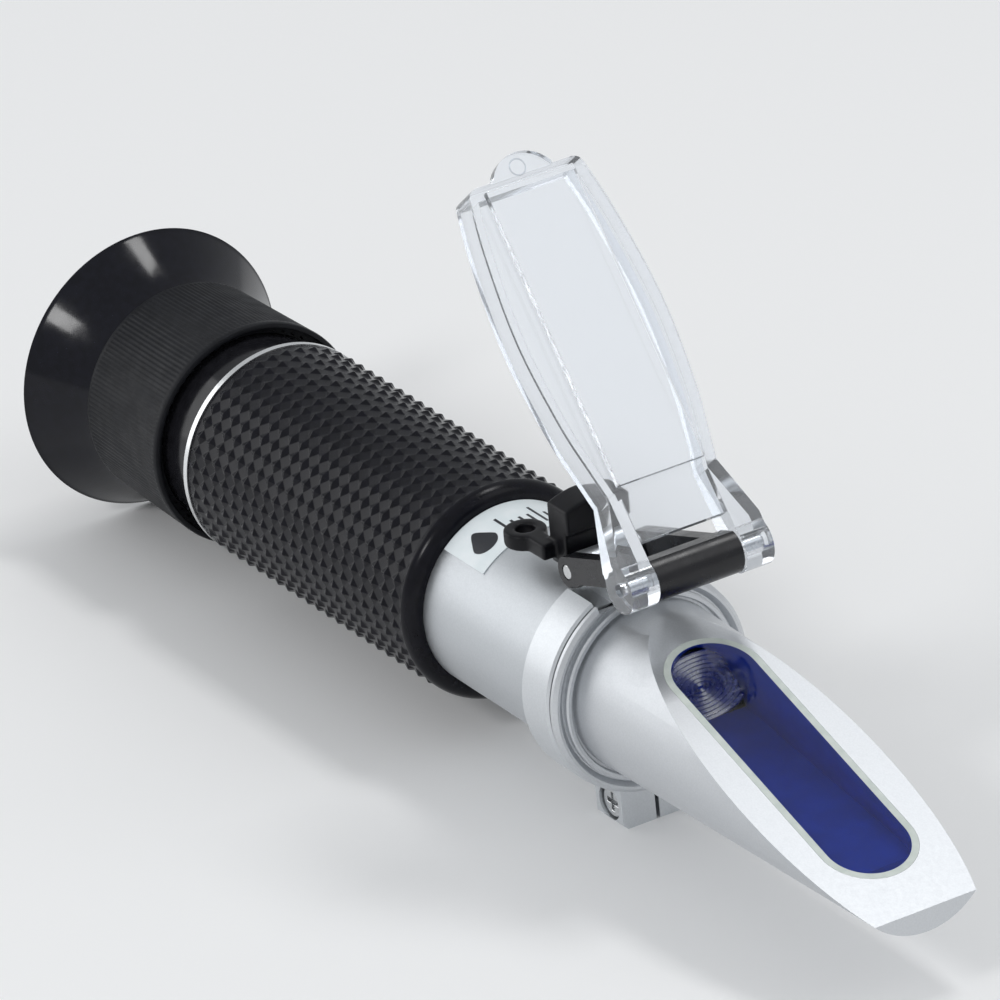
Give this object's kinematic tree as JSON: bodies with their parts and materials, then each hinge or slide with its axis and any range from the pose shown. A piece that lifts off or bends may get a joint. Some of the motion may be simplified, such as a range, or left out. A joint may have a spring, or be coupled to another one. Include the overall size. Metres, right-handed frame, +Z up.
{
  "type": "refractometer",
  "caption": "Hand-held refractometer: focusing eyepiece, gripped barrel, clamp ring with a hinged clear daylight plate, and a sloped prism face that reads a drop of liquid.",
  "frame": {"origin": "middle of the object's length and width, on the surface it lies on, under the optical axis", "axes": "+X runs along the optical axis from the eyecup to the prism's tip, +Z up, +Y to the left of someone looking from the eyecup to the tip"},
  "size_m": [0.172, 0.036, 0.0794],
  "materials": {
    "eyecup": "smooth glossy black moulding",
    "focus_ring": "matte near-black, fine axial ribs",
    "black_anodised": "matte black anodised",
    "lens_glass": "polished glass",
    "gloss_black": "glossy black",
    "satin_silver": "satin silver, fine bead-blast grain",
    "bright_trim": "bright turned ring",
    "grip_rubber": "black rubber, moulded diamond points",
    "label": null,
    "brass": "machined brass",
    "bimetal": "rolled bimetal",
    "screw_steel": "bright steel",
    "cap_rubber": "black moulded rubber, slight sheen",
    "clamp_metal": "satin silver, turned edges",
    "bracket_black": "black moulded plastic, semi-gloss",
    "clear_plastic": "clear moulded plastic",
    "housing_metal": "satin silver, bead-blast grain with smooth edges",
    "prism_glass": "polished glass, blue from the backing below",
    "blue_backing": "deep blue lacquer",
    "seal": "pale grey-green sealant bead"
  },
  "bodies": {
    "barrel": {"helicoid_tube": "gloss_black", "main_tube": "satin_silver", "rear_trim_ring": "bright_trim", "grip_sleeve": "grip_rubber", "body_label": "label", "reticle_holder": "black_anodised", "reticle_disc": "lens_glass", "reticle_lock_ring": "black_anodised", "bimetal_mount": "brass", "bimetal_strip": "bimetal", "bimetal_screw": "screw_steel", "calibration_bush": "satin_silver", "clamp_ring": "clamp_metal", "clamp_screw": "screw_steel", "pivot_pin": "screw_steel", "housing_gasket": "cap_rubber", "prism_housing": "housing_metal", "light_baffle": "black_anodised", "prism": "prism_glass", "prism_backing": "blue_backing", "prism_seal": "seal"},
    "eyepiece": {"eyepiece_cell": "black_anodised", "eye_lens": "lens_glass", "lens_spacer": "black_anodised", "field_lens": "lens_glass", "eyepiece_lock_ring": "black_anodised"},
    "focus": {"focus_ring": "focus_ring", "eyecup": "eyecup"},
    "objective": {"objective_cell": "black_anodised", "objective_lens": "lens_glass", "objective_lock_ring": "black_anodised"},
    "calibration": {"calibration_screw": "screw_steel"},
    "cap": {"screw_cap": "cap_rubber"},
    "bracket": {"hinge_bracket": "bracket_black", "hinge_pin": "screw_steel"},
    "plate": {"daylight_plate": "clear_plastic"}
  },
  "joints": [
    {"name": "eyepiece_travel", "type": "slide", "parent": "barrel", "child": "eyepiece", "axis": [1, 0, 0], "range_m": [-0.002, 0.002]},
    {"name": "focus_turn", "type": "hinge", "parent": "eyepiece", "child": "focus", "pos_m": [-0.069, 0, 0.018], "axis": [1, 0, 0], "range_deg": [-180, 180]},
    {"name": "objective_tilt", "type": "hinge", "parent": "barrel", "child": "objective", "pos_m": [-0.0175, 0, 0.00935], "axis": [0, 1, 0], "range_deg": [-0.35, 0.35]},
    {"name": "calibration_turn", "type": "hinge", "parent": "barrel", "child": "calibration", "pos_m": [0.0182, 0, 0.03], "axis": [0, 0, 1], "range_deg": [-180, 180]},
    {"name": "cap_lift", "type": "slide", "parent": "barrel", "child": "cap", "axis": [0, 0, 1], "range_m": [0, 0.006]},
    {"name": "bracket_pivot", "type": "hinge", "parent": "barrel", "child": "bracket", "pos_m": [0.0225, 0, 0.0319], "axis": [0, 1, 0], "range_deg": [-8, 23.65]},
    {"name": "plate_hinge", "type": "hinge", "parent": "bracket", "child": "plate", "pos_m": [0.04098, 0, 0.0378], "axis": [0, 1, 0], "range_deg": [-10, 124.45]}
  ],
  "couplings": [
    {"joint": "eyepiece_travel", "follows": "focus_turn", "m_per_rad": 0.000636},
    {"joint": "objective_tilt", "follows": "calibration_turn", "ratio": -0.00174}
  ]
}
